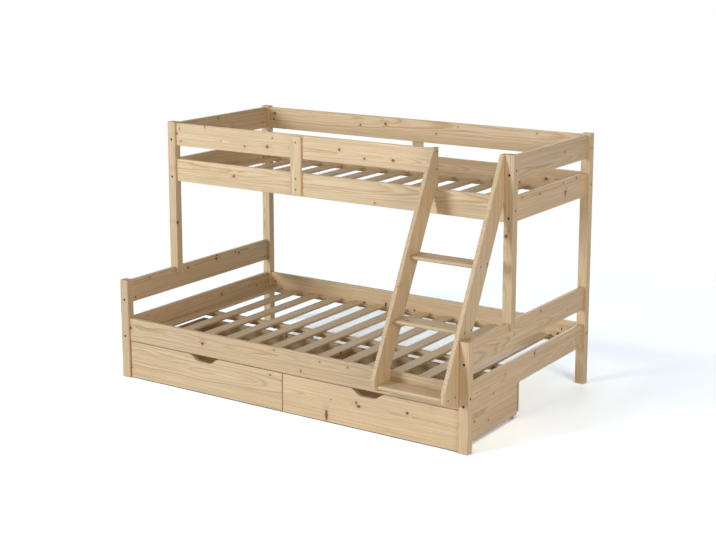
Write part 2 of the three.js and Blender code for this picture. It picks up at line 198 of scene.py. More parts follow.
knot_edge = add(trunk, MATH, {0: knot_distance, 1: ragged_mm}, operation="ADD")
thickness = add(trunk, MATH, {0: chance.outputs[1], 1: KNOT_RARELY_THICK}, operation="POWER")
knot_radius = add(trunk, MATH, {0: thickness, 1: KNOT_MORE_MM, 2: KNOT_LEAST_MM}, operation="MULTIPLY_ADD")
knot_here = add(trunk, MATH, {0: chance.outputs[0], 1: given.outputs["Knots"]}, operation="LESS_THAN")
knot_share = add(trunk, MATH, {0: knot_edge, 1: knot_radius}, operation="DIVIDE")
knot_fall = add(trunk, MATH, {0: knot_share, 1: KNOT_FADE}, operation="MULTIPLY")
knot_near = add(trunk, MATH, {0: add(trunk, MATH, {0: knot_fall}, operation="EXPONENT"), 1: knot_here},
                operation="MULTIPLY")
knot_mask = add(trunk, SPAN, {0: knot_share, 1: KNOT_RIM[0], 2: KNOT_RIM[1], 3: 0.0, 4: 1.0})
knot = add(trunk, MATH, {0: knot_mask, 1: knot_here}, operation="MULTIPLY")
print("knots of", 2 * KNOT_LEAST_MM, "to", 2 * (KNOT_LEAST_MM + KNOT_MORE_MM), "mm across")

# %% [markdown]
# Year rings: the radius, bent by the slow wander of a real trunk, by its taper, and outwards around each
# branch, is counted in rings. Real ones are 1 to 4 mm apart. They are drawn 4 mm apart, as coarse as
# young pine gets, because finer ones would vanish at the distance of this picture. Good and poor years
# differ in how dark their late wood is.

# %% Year rings
RING_MM = 4.2
TAPER = 0.012
WANDER_MM = 38.0
WAVER_MM = 2.2
SEASON_PER_MM = 0.045
SEASON_YEARS = 3.0
POOR_YEAR = 0.35
LATE_IN_YEAR = [(0.0, 0.45), (0.14, 0.0), (0.5, 0.12), (0.8, 0.7), (0.93, 1.0), (1.0, 0.45)]

stretch_slow = add(trunk, VECTOR, {0: point, 1: drawn_out(900, 150)}, operation="MULTIPLY")
wander = add(trunk, NOISE, {"Vector": stretch_slow, "Scale": 1.0, "Detail": 2.0, "Roughness": 0.45})
wander_mm = add(trunk, MATH, {0: wander, 1: WANDER_MM, 2: -WANDER_MM / 2}, operation="MULTIPLY_ADD")
stretch_quick = add(trunk, VECTOR, {0: point, 1: drawn_out(90, 16)}, operation="MULTIPLY")
waver = add(trunk, NOISE, {"Vector": stretch_quick, "Scale": 1.0, "Detail": 1.0})
waver_mm = add(trunk, MATH, {0: waver, 1: WAVER_MM}, operation="MULTIPLY")
taper_mm = add(trunk, MATH, {0: along, 1: TAPER}, operation="MULTIPLY")
swell_mm = add(trunk, MATH, {0: knot_near, 1: knot_radius}, operation="MULTIPLY")
grown = radius
for part in (wander_mm, waver_mm, taper_mm, swell_mm, swell_mm):
    grown = add(trunk, MATH, {0: grown, 1: part}, operation="ADD").outputs[0]
season_at = add(trunk, MATH, {0: grown, 1: SEASON_PER_MM}, operation="MULTIPLY")
season = add(trunk, NOISE, {"W": season_at, "Scale": 1.0}, noise_dimensions="1D")
season_years = add(trunk, MATH, {0: season, 1: SEASON_YEARS}, operation="MULTIPLY")
years = add(trunk, MATH, {0: grown, 1: 1 / RING_MM, 2: season_years}, operation="MULTIPLY_ADD")
year = add(trunk, MATH, {0: years}, operation="FRACT")
late = add(trunk, RAMP, {0: year}, stops=[(at, (v, v, v, 1)) for at, v in LATE_IN_YEAR])
year_number = add(trunk, MATH, {0: years}, operation="FLOOR")
good_year = add(trunk, "ShaderNodeTexWhiteNoise", {"W": year_number}, noise_dimensions="1D")
late_strength = add(trunk, SPAN, {0: good_year.outputs["Value"], 3: POOR_YEAR, 4: 1.0})
late_wood = add(trunk, MATH, {0: late, 1: late_strength}, operation="MULTIPLY")
print("a ring every", RING_MM, "mm")

# %% [markdown]
# Fibres and tone: long streaks run with the grain, from hair thin to a finger wide, and the wood warms from
# cream sapwood to a honey heart. End grain drinks more lacquer, so it is darker and duller. Each kind of
# streak has its length and width in millimetres and how far it darkens and brightens the wood.

# %% Fibres, tone and end grain
STREAKS = ((480, 9, 0.88, 1.08), (170, 3.0, 0.90, 1.07), (28, 0.9, 0.95, 1.04))
NOISE_LOW, NOISE_HIGH = 0.3, 0.7
TONES = (0.90, 1.06)
END_FROM, END_FULL = 0.6, 0.95
END_SHADE = 0.78

streaks = []
for length_mm, width_mm, darkest, brightest in STREAKS:
    drawn = add(trunk, VECTOR, {0: point, 1: drawn_out(length_mm, width_mm)}, operation="MULTIPLY")
    fibre = add(trunk, NOISE, {"Vector": drawn, "Scale": 1.0, "Detail": 2.0, "Roughness": 0.55})
    shading = add(trunk, SPAN, {0: fibre, 1: NOISE_LOW, 2: NOISE_HIGH, 3: darkest, 4: brightest})
    streaks.append((fibre, shading))
toned = add(trunk, SPAN, {0: given.outputs["Tone"], 1: -1.0, 2: 1.0, 3: TONES[0], 4: TONES[1]})
end_shade = add(trunk, SPAN, {0: given.outputs["End"], 1: END_FROM, 2: END_FULL, 3: 1.0, 4: END_SHADE})
shade = streaks[0][1]
for part in (streaks[1][1], streaks[2][1], toned, end_shade):
    shade = add(trunk, MATH, {0: shade, 1: part}, operation="MULTIPLY")
print(len(STREAKS), "kinds of streaks")

# %% [markdown]
# Colours: late wood is a warm brown, the wood around a knot is stained with resin, and a knot has a dark bark
# line at its rim. Late wood and knots were polished harder by the planer, so they are glossier, and they
# stand a hair above or below the rest.

# %% Colours, gloss and relief of the trunk
SAPWOOD, HEARTWOOD, LATE_BROWN, RESIN = "e4d1b0", "dfc79f", "c8a06b", "b87c4a"
KNOT_COLOURS = ((0.0, "6e4426"), (0.45, "8a5630"), (0.8, "5e3820"), (1.0, "47291a"))
HEART_PATCHES = 1.7
RESIN_SHARE = 0.55
EARLY_ROUGH, LATE_ROUGH, END_ROUGHER = 0.52, 0.42, 0.18
LATE_RIDGE, HAIR_RIDGE, KNOT_RIDGE = 0.5, 0.8, -0.6

heart = add(trunk, NOISE, {"Vector": stretch_slow, "Scale": HEART_PATCHES, "Detail": 1.0})
early = add(trunk, MIX, {"Factor": heart, 6: straight(SAPWOOD), 7: straight(HEARTWOOD)}, data_type="RGBA")
rings = add(trunk, MIX, {"Factor": late_wood, 6: early.outputs[2], 7: straight(LATE_BROWN)}, data_type="RGBA")
halo = add(trunk, MATH, {0: knot_near, 1: RESIN_SHARE}, operation="MULTIPLY")
stained = add(trunk, MIX, {"Factor": halo, 6: rings.outputs[2], 7: straight(RESIN)}, data_type="RGBA")
knot_colour = add(trunk, RAMP, {0: knot_share}, stops=[(at, straight(c)) for at, c in KNOT_COLOURS])
wood = add(trunk, MIX, {"Factor": knot, 6: stained.outputs[2], 7: knot_colour}, data_type="RGBA")
shaded = add(trunk, VECTOR, {0: wood.outputs[2], "Scale": shade}, operation="SCALE")

gloss = add(trunk, SPAN, {0: late_wood, 3: EARLY_ROUGH, 4: LATE_ROUGH})
dull = add(trunk, MATH, {0: given.outputs["End"], 1: END_ROUGHER, 2: gloss}, operation="MULTIPLY_ADD")
ridge = streaks[1][0]
for part, rise in ((late_wood, LATE_RIDGE), (streaks[2][0], HAIR_RIDGE), (knot, KNOT_RIDGE)):
    ridge = add(trunk, MATH, {0: part, 1: rise, 2: ridge}, operation="MULTIPLY_ADD")
add(trunk, "NodeGroupOutput", {"Color": shaded, "Roughness": dull, "Height": ridge})
print("the trunk has", len(trunk.nodes), "nodes")

# %% [markdown]
# ## Sawing the planks
# Each plank gets its own material: a Mapping node turns the plank's grain onto the trunk's axis and slides
# the plank to its place beside the pith. A plank sawn level with the pith shows straight lines, one sawn
# above it shows the pointed arches that pine is known for.

# %% One material per plank
MM = 1000
X, Y, Z = Vector((1, 0, 0)), Vector((0, 1, 0)), Vector((0, 0, 1))
AXES = {"x": X, "y": Y, "z": Z}
TURNS = {"x": (0, 0, 0), "y": (0, 0, -math.pi / 2), "z": (0, math.pi / 2, 0)}
GRAIN_RELIEF, GRAIN_DEEP = 0.35, 0.0004
LACQUER, LACQUER_ROUGH = 0.12, 0.35


def sawn_from(tree, coordinates, centre, axis, pith, step):
    """Turns a plank's own coordinates into a place in the trunk, in millimetres."""
    turned = Euler(TURNS[axis]).to_matrix() @ (centre * MM)
    return add(tree, "ShaderNodeMapping", {"Vector": coordinates, "Rotation": TURNS[axis],
               "Location": Vector((step, *pith)) - turned, "Scale": (MM, MM, MM)})


def pine_plank(name, centre, axis, pith, step, tone, knots, row=None):
    """Planed pine under clear matt lacquer: silky, its late wood a little harder and glossier."""
    material, tree = blank_material(name)
    place_at = add(tree, "ShaderNodeTexCoord")
    spot = sawn_from(tree, place_at.outputs["Object"], centre, axis, pith, step).outputs[0]
    if row:
        spot = each_slat(tree, place_at.outputs["Object"], spot, *row)
    facing = add(tree, VECTOR, {0: place_at.outputs["Normal"], 1: AXES[axis]}, operation="DOT_PRODUCT")
    end = add(tree, MATH, {0: facing.outputs["Value"]}, operation="ABSOLUTE")
    wood_here = add(tree, "ShaderNodeGroup", {"Point": spot, "End": end, "Tone": tone, "Knots": knots},
                    node_tree=trunk)
    bump = add(tree, "ShaderNodeBump", {"Height": wood_here.outputs["Height"], "Strength": GRAIN_RELIEF,
               "Distance": GRAIN_DEEP})
    surface = add(tree, "ShaderNodeBsdfPrincipled", {
        "Base Color": wood_here.outputs["Color"], "Roughness": wood_here.outputs["Roughness"], "Normal": bump,
        "Coat Weight": LACQUER, "Coat Roughness": LACQUER_ROUGH})
    add(tree, "ShaderNodeOutputMaterial", {"Surface": surface})
    return material


print("grain can run along", *AXES)

# %% [markdown]
# The slats of a row come as one piece with the strip that carries them, yet each slat was sawn from a tree
# of its own. So the slat's number, counted along the bed, picks its place in the trunk, and what lies below
# the slats gets the strip's own grain, which runs along the bed.

# %% Slats of one row
SLAT_COUNT = 14
SLAT_THICK = 0.012
SLAT_WIDE = 0.066
SLAT_MARGIN = 0.018
SLAT_SPREAD_MM = (9000, 90, 80)
STRIP_PITH_MM = (60, 20)
STRIP_STEP_MM = 300


def each_slat(tree, coordinates, spot, first, pitch, seat, centre):
    """Moves each slat to its own place in the trunk, and turns the grain of the strip under the row."""
    axes = add(tree, SPLIT, {0: coordinates})
    from_first = add(tree, MATH, {0: axes.outputs[0], 1: first}, operation="SUBTRACT")
    pitches = add(tree, MATH, {0: from_first, 1: pitch}, operation="DIVIDE")
    number = add(tree, MATH, {0: pitches}, operation="FLOOR")
    chance = add(tree, "ShaderNodeTexWhiteNoise", {"W": number}, noise_dimensions="1D")
    shift = add(tree, VECTOR, {0: chance.outputs["Color"], 1: SLAT_SPREAD_MM}, operation="MULTIPLY")
    slat = add(tree, VECTOR, {0: spot, 1: shift}, operation="ADD")
    strip = sawn_from(tree, coordinates, centre, "x", STRIP_PITH_MM, STRIP_STEP_MM)
    above = add(tree, MATH, {0: axes.outputs[2], 1: seat}, operation="GREATER_THAN")
    return add(tree, MIX, {"Factor": above, 4: strip, 5: slat}, data_type="VECTOR").outputs[1]


left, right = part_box("end_board_bed_left")[1].x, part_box("end_board_bed_right")[0].x
pitch = (right - left - 2 * SLAT_MARGIN - SLAT_WIDE) / (SLAT_COUNT - 1)
first = left + SLAT_MARGIN - (pitch - SLAT_WIDE) / 2
slat_rows = {}
for name in ("slats_bed", "slats_bunk"):
    low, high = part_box(name)
    slat_rows[name] = (first, pitch, high.z - SLAT_THICK, (low + high) / 2)
print("slats every", round(pitch * MM, 1), "mm")

# %% [markdown]
# The maker picks clear timber for the slender parts and lets knots into the wide boards. How likely a branch
# is to show therefore depends on what the plank is for. Each plank is then sawn at its own place beside the
# pith and at its own height in the trunk. Both come from sines, so they are the same in every run.

# %% Saw all planks
GRAIN = {"post": "z", "leg": "z", "batten": "z", "stringer": "z", "end": "y", "slats": "y",
         "drawer_side": "y"}
KNOTTY = {"post": 0.22, "leg": 0.2, "stringer": 0.22, "tread": 0.16, "batten": 0.1, "slats": 0.3,
          "strip": 0.2}
KNOTTY_BOARD = 0.42
PITH_BESIDE_MM = 70
PITH_SPREAD_MM = (45, 40)
TRUNK_APART_MM, TRUNK_SPREAD_MM = 1000, 500
DRAWS = (2.4, 4.1, 5.7, 7.3)


def by_start(table, name, otherwise):
    """Looks a name up by how it starts."""
    return next((value for start, value in table.items() if name.startswith(start)), otherwise)


wooden = [n for n in sorted(nodes) if not n.startswith(("castor", "wheel", "drawer_panel"))]
planks = {}
for count, name in enumerate(wooden):
    low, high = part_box(name)
    beside, above, height, tone = [math.sin(count * k + k) for k in DRAWS]
    pith = (PITH_BESIDE_MM + PITH_SPREAD_MM[0] * beside, PITH_SPREAD_MM[1] * above)
    step = TRUNK_APART_MM * count + TRUNK_SPREAD_MM * height
    planks[name] = pine_plank("lacquered_pine_" + name, (low + high) / 2, by_start(GRAIN, name, "x"), pith,
                              step, tone, by_start(KNOTTY, name, KNOTTY_BOARD), slat_rows.get(name))
    nodes[name].material_slots[0].material = planks[name]
print(len(wooden), "planks sawn")

# %% [markdown]
# ## From a shape to a piece
# Each piece below starts as a bmesh, Blender's workbench for meshes. A few helpers recur: one cuts through
# everything along a plane, one sinks faces into the wood or metal, one stores the finished shape, smooth
# over its curves and sharp at its edges, and one shows it as an object at the origin.

# %% Helpers for shapes
WALL_SLANT = 0.00001


def cut_through(shape, spot, normal):
    """Cuts all faces along one plane."""
    everything = [*shape.verts, *shape.edges, *shape.faces]
    bmesh.ops.bisect_plane(shape, geom=everything, plane_co=spot, plane_no=normal)


def sink(shape, faces, depth):
    """Pushes faces in and leaves upright walls around them."""
    bmesh.ops.inset_region(shape, faces=faces, thickness=WALL_SLANT, depth=-depth)


def as_mesh(name, shape, sharp_degrees):
    """Keeps a finished shape as a mesh whose edges are sharp from one angle upwards."""
    for face in shape.faces:
        face.smooth = True
    mesh = bpy.data.meshes.new(name)
    shape.to_mesh(mesh)
    shape.free()
    mesh.set_sharp_from_angle(angle=math.radians(sharp_degrees))
    return mesh


def show(mesh, material):
    """Makes an object of a mesh, named like it and in one material."""
    mesh.materials.append(material)
    piece = bpy.data.objects.new(mesh.name, mesh)
    bpy.context.scene.collection.objects.link(piece)
    return piece


print("walls slant by", WALL_SLANT * MM, "mm")

# %% [markdown]
# ## Drawer fronts
# A drawer front is a board with a finger cut-out that dips from its top edge in two soft shoulders. The
# outline of such a shoulder is a Bezier curve: it leaves the edge level, falls, and ends level again. Here
# the board is cut upright at points along that curve, and the upper corner of every cut is lowered on to
# it. The cut-out is a little wider than in the CAD model, as the photographed bed has it. All edges around
# its two faces are rounded, as a router leaves them.

# %% A board with a cut-out
GRIP_WIDE = 0.204
GRIP_DEEP = 0.031
GRIP_RUN = 0.074
GRIP_EASE = 0.034
GRIP_STEPS = 14
FRONT_EASE = 0.0016
FRONT_EASE_STEPS = 3


def shoulder(step):
    """How far along its run and how deep the shoulder is at one of its steps."""
    t = step / GRIP_STEPS
    ease = GRIP_EASE / GRIP_RUN
    run = 3 * ease * t * (1 - t) ** 2 + 3 * (1 - ease) * t ** 2 * (1 - t) + t ** 3
    return run * GRIP_RUN, (3 - 2 * t) * t * t * GRIP_DEEP


def board_with_cut_out(low, high):
    """A board that fills its room between two corners, apart from the cut-out in its top edge."""
    shape = bmesh.new()
    room = Matrix.Translation((low + high) / 2) @ Matrix.Diagonal((*(high - low), 1))
    bmesh.ops.create_cube(shape, size=1, matrix=room)
    middle = (low.x + high.x) / 2
    depth_at = {}
    for step in range(GRIP_STEPS + 1):
        run, depth = shoulder(step)
        for hand in (-1, 1):
            x = middle + hand * (GRIP_WIDE / 2 - run)
            depth_at[round(x, 6)] = depth
            cut_through(shape, (x, 0, 0), X)
    for vert in shape.verts:
        if vert.co.z > high.z - FRONT_EASE:
            vert.co.z -= depth_at.get(round(vert.co.x, 6), 0.0)
    rims = [edge for edge in shape.edges if len(edge.link_faces) == 2
            and sorted(round(abs(face.normal.y)) for face in edge.link_faces) == [0, 1]]
    bmesh.ops.bevel(shape, geom=rims, offset=FRONT_EASE, segments=FRONT_EASE_STEPS, profile=0.5,
                    affect="EDGES", material=-1)
    return shape


print("a shoulder ends", round(shoulder(GRIP_STEPS)[1] * MM), "mm down")

# %% [markdown]
# The back of the front carries a groove for the bottom panel. Four cuts draw its mouth on the back face,
# with a hair of air around the panel, and what lies inside them is sunk.

# %% Build the two fronts
GROOVE_DEEP = 0.006
GROOVE_AIR = 0.0002
FACES_BACK = 0.9
FRONT_SHARP = 30


def rout_groove(shape, panel_low, panel_high):
    """Sinks a groove as long and as thick as the panel into the back face."""
    bottom, top = panel_low.z - GROOVE_AIR, panel_high.z + GROOVE_AIR
    start, end = panel_low.x - GROOVE_AIR, panel_high.x + GROOVE_AIR
    for spot, normal in (((0, 0, bottom), Z), ((0, 0, top), Z), ((start, 0, 0), X), ((end, 0, 0), X)):
        cut_through(shape, spot, normal)
    mouth = []
    for face in shape.faces:
        at = face.calc_center_median()
        if face.normal.y > FACES_BACK and bottom < at.z < top and start < at.x < end:
            mouth.append(face)
    sink(shape, mouth, GROOVE_DEEP)


for side in ("left", "right"):
    node = f"drawer_front_{side}"
    shape = board_with_cut_out(*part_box(node))
    rout_groove(shape, *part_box(f"drawer_panel_{side}"))
    piece = show(as_mesh(f"shaped_front_{side}", shape, FRONT_SHARP), planks[node])
    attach(piece, f"drawer_{side}")
    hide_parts(node)
    print(piece.name, len(piece.data.polygons), "faces")

# %% [markdown]
# ## Plywood
# The drawers' bottoms are thin plywood. Its face veneer is peeled off the turning log like paper off a roll,
# so the knife meets each ring at a very flat angle and the figure comes out broad, blurred and wavy. A sine
# of a slow noise gives such bands, and a fine noise, drawn out with the grain, gives the pores.

# %% Plywood panels
VENEER_PALE, VENEER_DARK, PORE_BROWN = "dcc19b", "cfae82", "a8835a"
VENEER_WAVES, VENEER_SWIRL = 34.0, 0.8
PORES_FROM, PORES_FULL, PORES_DARK = 0.56, 0.72, 0.35
PORE_RELIEF, PORE_DEEP = 0.3, 0.0003
SANDED_ROUGH = 0.62


def in_millimetres(tree, centre=Vector()):
    """A piece's own coordinates in millimetres, counted from the given centre."""
    place_at = add(tree, "ShaderNodeTexCoord")
    return add(tree, "ShaderNodeMapping", {"Vector": place_at.outputs["Object"], "Scale": (MM, MM, MM),
               "Location": -centre * MM})


def peeled_plywood(name):
    """Sanded birch plywood: pale, matt, with a soft watery figure and fine pores along the grain."""
    material, tree = blank_material(name)
    spot = in_millimetres(tree)
    broad = add(tree, VECTOR, {0: spot, 1: drawn_out(500, 90)}, operation="MULTIPLY")
    figure = add(tree, NOISE, {"Vector": broad, "Scale": 1.0, "Detail": 2.0,
                 "Distortion": VENEER_SWIRL})
    waves = add(tree, MATH, {0: figure, 1: VENEER_WAVES}, operation="MULTIPLY")
    bands = add(tree, MATH, {0: waves}, operation="SINE")
    drawn = add(tree, VECTOR, {0: spot, 1: drawn_out(22, 0.8)}, operation="MULTIPLY")
    pores = add(tree, NOISE, {"Vector": drawn, "Scale": 1.0, "Detail": 1.0})
    tint = add(tree, SPAN, {0: bands, 1: -1.0, 2: 1.0})
    veneer = add(tree, MIX, {"Factor": tint, 6: straight(VENEER_PALE), 7: straight(VENEER_DARK)},
                 data_type="RGBA")
    dark = add(tree, SPAN, {0: pores, 1: PORES_FROM, 2: PORES_FULL, 3: 0.0, 4: PORES_DARK})
    wood = add(tree, MIX, {"Factor": dark, 6: veneer.outputs[2], 7: straight(PORE_BROWN)}, data_type="RGBA")
    bump = add(tree, "ShaderNodeBump", {"Height": pores, "Strength": PORE_RELIEF, "Distance": PORE_DEEP})
    surface = add(tree, "ShaderNodeBsdfPrincipled", {"Base Color": wood.outputs[2],
                  "Roughness": SANDED_ROUGH, "Normal": bump})
    add(tree, "ShaderNodeOutputMaterial", {"Surface": surface})
    return material


plywood = peeled_plywood("sanded_plywood")
for side in ("left", "right"):
    nodes[f"drawer_panel_{side}"].material_slots[0].material = plywood
print(plywood.name, "on both drawers' bottoms")

# %% [markdown]
# ## Nylon
# The castors are moulded in two grades of nylon. The black brackets keep the fine spark texture of their
# mould. The grey wheels get a paler, rougher band where they roll over the floor.

# %% Nylon castors and wheels
BRACKET_BLACK, WHEEL_GREY, SCUFFED_GREY = "232326", "515256", "8c8a86"
WHEEL_RADIUS_MM = 15
SCUFF_IN_MM = 0.4
SCUFF_BLUR_MM = 0.8
SCUFF_SHARE, SCUFF_FULL = 0.6, 0.4
NO_SCUFF_MM = 5000
GRIT_PER_MM = 2.2
GRIT_RELIEF, GRIT_DEEP = 0.25, 0.0002
FLOW_PER_MM = 0.16
FLOW_TONES = (0.85, 1.15)
MOULDED_ROUGH, SCUFFED_ROUGH = 0.42, 0.7
NYLON_IOR = 1.53


def moulded_nylon(name, colour, centre, rolls_at_mm):
    """Moulded nylon: dull satin with a fine eroded texture, scuffed paler from one radius outwards."""
    material, tree = blank_material(name)
    spot = in_millimetres(tree, centre)
    grit = add(tree, NOISE, {"Vector": spot, "Scale": GRIT_PER_MM, "Detail": 2.0})
    cloud = add(tree, NOISE, {"Vector": spot, "Scale": FLOW_PER_MM, "Detail": 2.0})
    flow = add(tree, SPAN, {0: cloud, 1: NOISE_LOW, 2: NOISE_HIGH, 3: FLOW_TONES[0], 4: FLOW_TONES[1]})
    across = add(tree, VECTOR, {0: spot, 1: (0, 1, 1)}, operation="MULTIPLY")
    radius = add(tree, VECTOR, {0: across}, operation="LENGTH").outputs["Value"]
    rolling = add(tree, SPAN, {0: radius, 1: rolls_at_mm - SCUFF_BLUR_MM, 2: rolls_at_mm, 3: 0.0,
                  4: SCUFF_SHARE})
    scuffed = add(tree, MATH, {0: rolling, 1: cloud}, operation="MULTIPLY")
    moulded = add(tree, VECTOR, {0: straight(colour)[:3], "Scale": flow}, operation="SCALE")
    worn = add(tree, MIX, {"Factor": scuffed, 6: moulded, 7: straight(SCUFFED_GREY)}, data_type="RGBA")
    rough = add(tree, SPAN, {0: scuffed, 1: 0.0, 2: SCUFF_FULL, 3: MOULDED_ROUGH, 4: SCUFFED_ROUGH})
    bump = add(tree, "ShaderNodeBump", {"Height": grit, "Strength": GRIT_RELIEF, "Distance": GRIT_DEEP})
    surface = add(tree, "ShaderNodeBsdfPrincipled", {"Base Color": worn.outputs[2], "Roughness": rough,
                  "Normal": bump, "IOR": NYLON_IOR})
    add(tree, "ShaderNodeOutputMaterial", {"Surface": surface})
    return material


bracket_nylon = moulded_nylon("moulded_black_nylon", BRACKET_BLACK, Vector(), NO_SCUFF_MM)
wheels = 0
for name in sorted(nodes):
    if name.startswith("castor"):
        nodes[name].material_slots[0].material = bracket_nylon
    elif name.startswith("wheel"):
        low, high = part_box(name)
        wheel_nylon = moulded_nylon("moulded_grey_nylon_" + name, WHEEL_GREY, (low + high) / 2,
                                    WHEEL_RADIUS_MM - SCUFF_IN_MM)
        nodes[name].material_slots[0].material = wheel_nylon
        wheels += 1
print(wheels, "nylon wheels")

# %% [markdown]
# ## Steel for the fasteners
# Bolts and ladder screws are blackened in a hot salt bath and oiled, which leaves a thin dark skin on bright
# steel. The screws that hold slats and drawers are zinc plated and passivated, which gives them their pale
# yellow shimmer. Either finish is cloudy, because the bath never acts evenly.

# %% Two finishes of steel
CLOUD_PER_MM = 0.5
MARKS_PER_MM = 3.0
CLOUD_LOW, CLOUD_HIGH = 0.35, 0.65
MARK_RELIEF, MARK_DEEP = 0.2, 0.0001
OXIDE_BLACK, OXIDE_BROWN, OXIDE_ROUGH = "2a2725", "38332e", (0.38, 0.55)
ZINC_YELLOW, ZINC_DULL, ZINC_ROUGH = "b99a5a", "a98f62", (0.28, 0.42)


def plated_steel(name, colour, second, roughness):
    """Plated steel: a metal whose tint and gloss change in cloudy patches, with fine tumbling marks."""
    material, tree = blank_material(name)
    spot = in_millimetres(tree)
    cloud = add(tree, NOISE, {"Vector": spot, "Scale": CLOUD_PER_MM, "Detail": 3.0})
    marks = add(tree, NOISE, {"Vector": spot, "Scale": MARKS_PER_MM, "Detail": 2.0})
    patch = add(tree, SPAN, {0: cloud, 1: CLOUD_LOW, 2: CLOUD_HIGH})
    tint = add(tree, MIX, {"Factor": patch, 6: straight(colour), 7: straight(second)}, data_type="RGBA")
    rough = add(tree, SPAN, {0: cloud, 1: NOISE_LOW, 2: NOISE_HIGH, 3: roughness[0], 4: roughness[1]})
    bump = add(tree, "ShaderNodeBump", {"Height": marks, "Strength": MARK_RELIEF, "Distance": MARK_DEEP})
    surface = add(tree, "ShaderNodeBsdfPrincipled", {"Base Color": tint.outputs[2], "Metallic": 1.0,
                  "Roughness": rough, "Normal": bump})
    add(tree, "ShaderNodeOutputMaterial", {"Surface": surface})
    return material


black_steel = plated_steel("black_oxide_steel", OXIDE_BLACK, OXIDE_BROWN, OXIDE_ROUGH)
yellow_steel = plated_steel("yellow_passivated_zinc_steel", ZINC_YELLOW, ZINC_DULL, ZINC_ROUGH)
print(black_steel.name, "and", yellow_steel.name)

# %% [markdown]
# ## Fasteners
# Every fastener is modelled once, standing on its own axis with its head at height 0, and is then stamped
# wherever the bed needs one. A turned part starts as a cone or cylinder, and what the tool leaves in its
# head is made by insetting the top face and sinking the inset.

# %% Helpers for small turned parts
TURNED_SIDES = 24
EASE_STEPS = 2


def top_face(shape):
    """The face that lies highest."""
    return max(shape.faces, key=lambda face: (round(face.calc_center_median().z, 6), face.calc_area()))


def turned(shape, low_radius, high_radius, low, high, sides=TURNED_SIDES):
    """Adds a cone or cylinder between two heights."""
    bmesh.ops.create_cone(shape, cap_ends=True, segments=sides, radius1=low_radius, radius2=high_radius,
                          depth=high - low, matrix=Matrix.Translation((0, 0, (low + high) / 2)))


def ease_rim(shape, offset):
    """Rounds the edge of the top face."""
    bmesh.ops.bevel(shape, geom=list(top_face(shape).edges), offset=offset, segments=EASE_STEPS,
                    profile=0.5, affect="EDGES", material=-1)


def inset_top(shape, thickness):
    """Draws a smaller outline in the top face and returns the face inside it."""
    face = top_face(shape)
    bmesh.ops.inset_individual(shape, faces=[face], thickness=thickness)
    return face


def cut_lines(shape, face, planes):
    """Cuts one face along several upright planes and returns all its parts."""
    parts = {face}
    for spot, normal in planes:
        around = {edge for part in parts for edge in part.edges}
        corners = {vert for part in parts for vert in part.verts}
        made = bmesh.ops.bisect_plane(shape, geom=[*parts, *around, *corners], plane_co=spot,
                                      plane_no=normal)
        parts = {item for item in made["geom"] if isinstance(item, bmesh.types.BMFace)}
    return parts


print("turned parts have", TURNED_SIDES, "sides")

# %% [markdown]
# A stamp joins a copy of one fastener at every place that needs it, into one mesh for each row. A place is
# a spot and the direction that the head looks in.

# %% The stamp
FASTENER_SHARP = 35


def stamp(name, pattern, places, body, material):
    """Joins a copy of the pattern at every place, as one piece that rides on a body."""
    shape = bmesh.new()
    for spot, outward in places:
        known = len(shape.verts)
        shape.from_mesh(pattern)
        shape.verts.ensure_lookup_table()
        turned_by = Vector(outward).to_track_quat("Z", "Y").to_matrix().to_4x4()
        bmesh.ops.transform(shape, matrix=Matrix.Translation(spot) @ turned_by, verts=shape.verts[known:])
    piece = show(as_mesh(name, shape, FASTENER_SHARP), material)
    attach(piece, body)
    print(name, len(places))


print("fasteners keep edges sharp from", FASTENER_SHARP, "degrees")

# %% [markdown]
# The bolt that pulls a rail to its post is a cap bolt with a hexagon socket. Its head sits low in the post's
# bore. The hexagon comes from the round inset: each of its points slides along its own ray to the flat of a
# hexagon.

# %% The bolt
HEAD_RADIUS = 0.0060
HEAD_TOP = -0.0030
HEAD_LOW = -0.0070
HEAD_EASE = 0.0005
SHANK_RADIUS = 0.0030
SHANK_SIDES = 16
SOCKET_RIM = 0.0022
SOCKET_ACROSS = 0.0050
SOCKET_DEEP = 0.0030
HEXAGON_TURN = math.pi / 3


def bolt(length):
    """A cap bolt as long as given, measured from the face that its bore starts in."""
    shape = bmesh.new()
    turned(shape, HEAD_RADIUS, HEAD_RADIUS, HEAD_LOW, HEAD_TOP)
    ease_rim(shape, HEAD_EASE)
    socket = inset_top(shape, SOCKET_RIM)
    for vert in socket.verts:
        ray = math.atan2(vert.co.y, vert.co.x)
        reach = SOCKET_ACROSS / 2 / math.cos(ray % HEXAGON_TURN - HEXAGON_TURN / 2)
        vert.co.x, vert.co.y = reach * math.cos(ray), reach * math.sin(ray)
    sink(shape, [socket], SOCKET_DEEP)
    turned(shape, SHANK_RADIUS, SHANK_RADIUS, -length, HEAD_LOW, SHANK_SIDES)
    return as_mesh("cap_bolt", shape, FASTENER_SHARP)


print("a bolt's head is", round(2 * HEAD_RADIUS * MM), "mm across")

# %% [markdown]
# The bolt screws into a barrel nut, a short round bar that lies across the board's end. Its slot lets a
# screwdriver turn the thread towards the bolt.

# %% The barrel nut
NUT_RADIUS = 0.0048
NUT_TOP = -0.0006
NUT_LONG = 0.0140
NUT_EASE = 0.0004
NUT_RIM = 0.0005
SLOT_WIDE = 0.0014
SLOT_DEEP = 0.0013


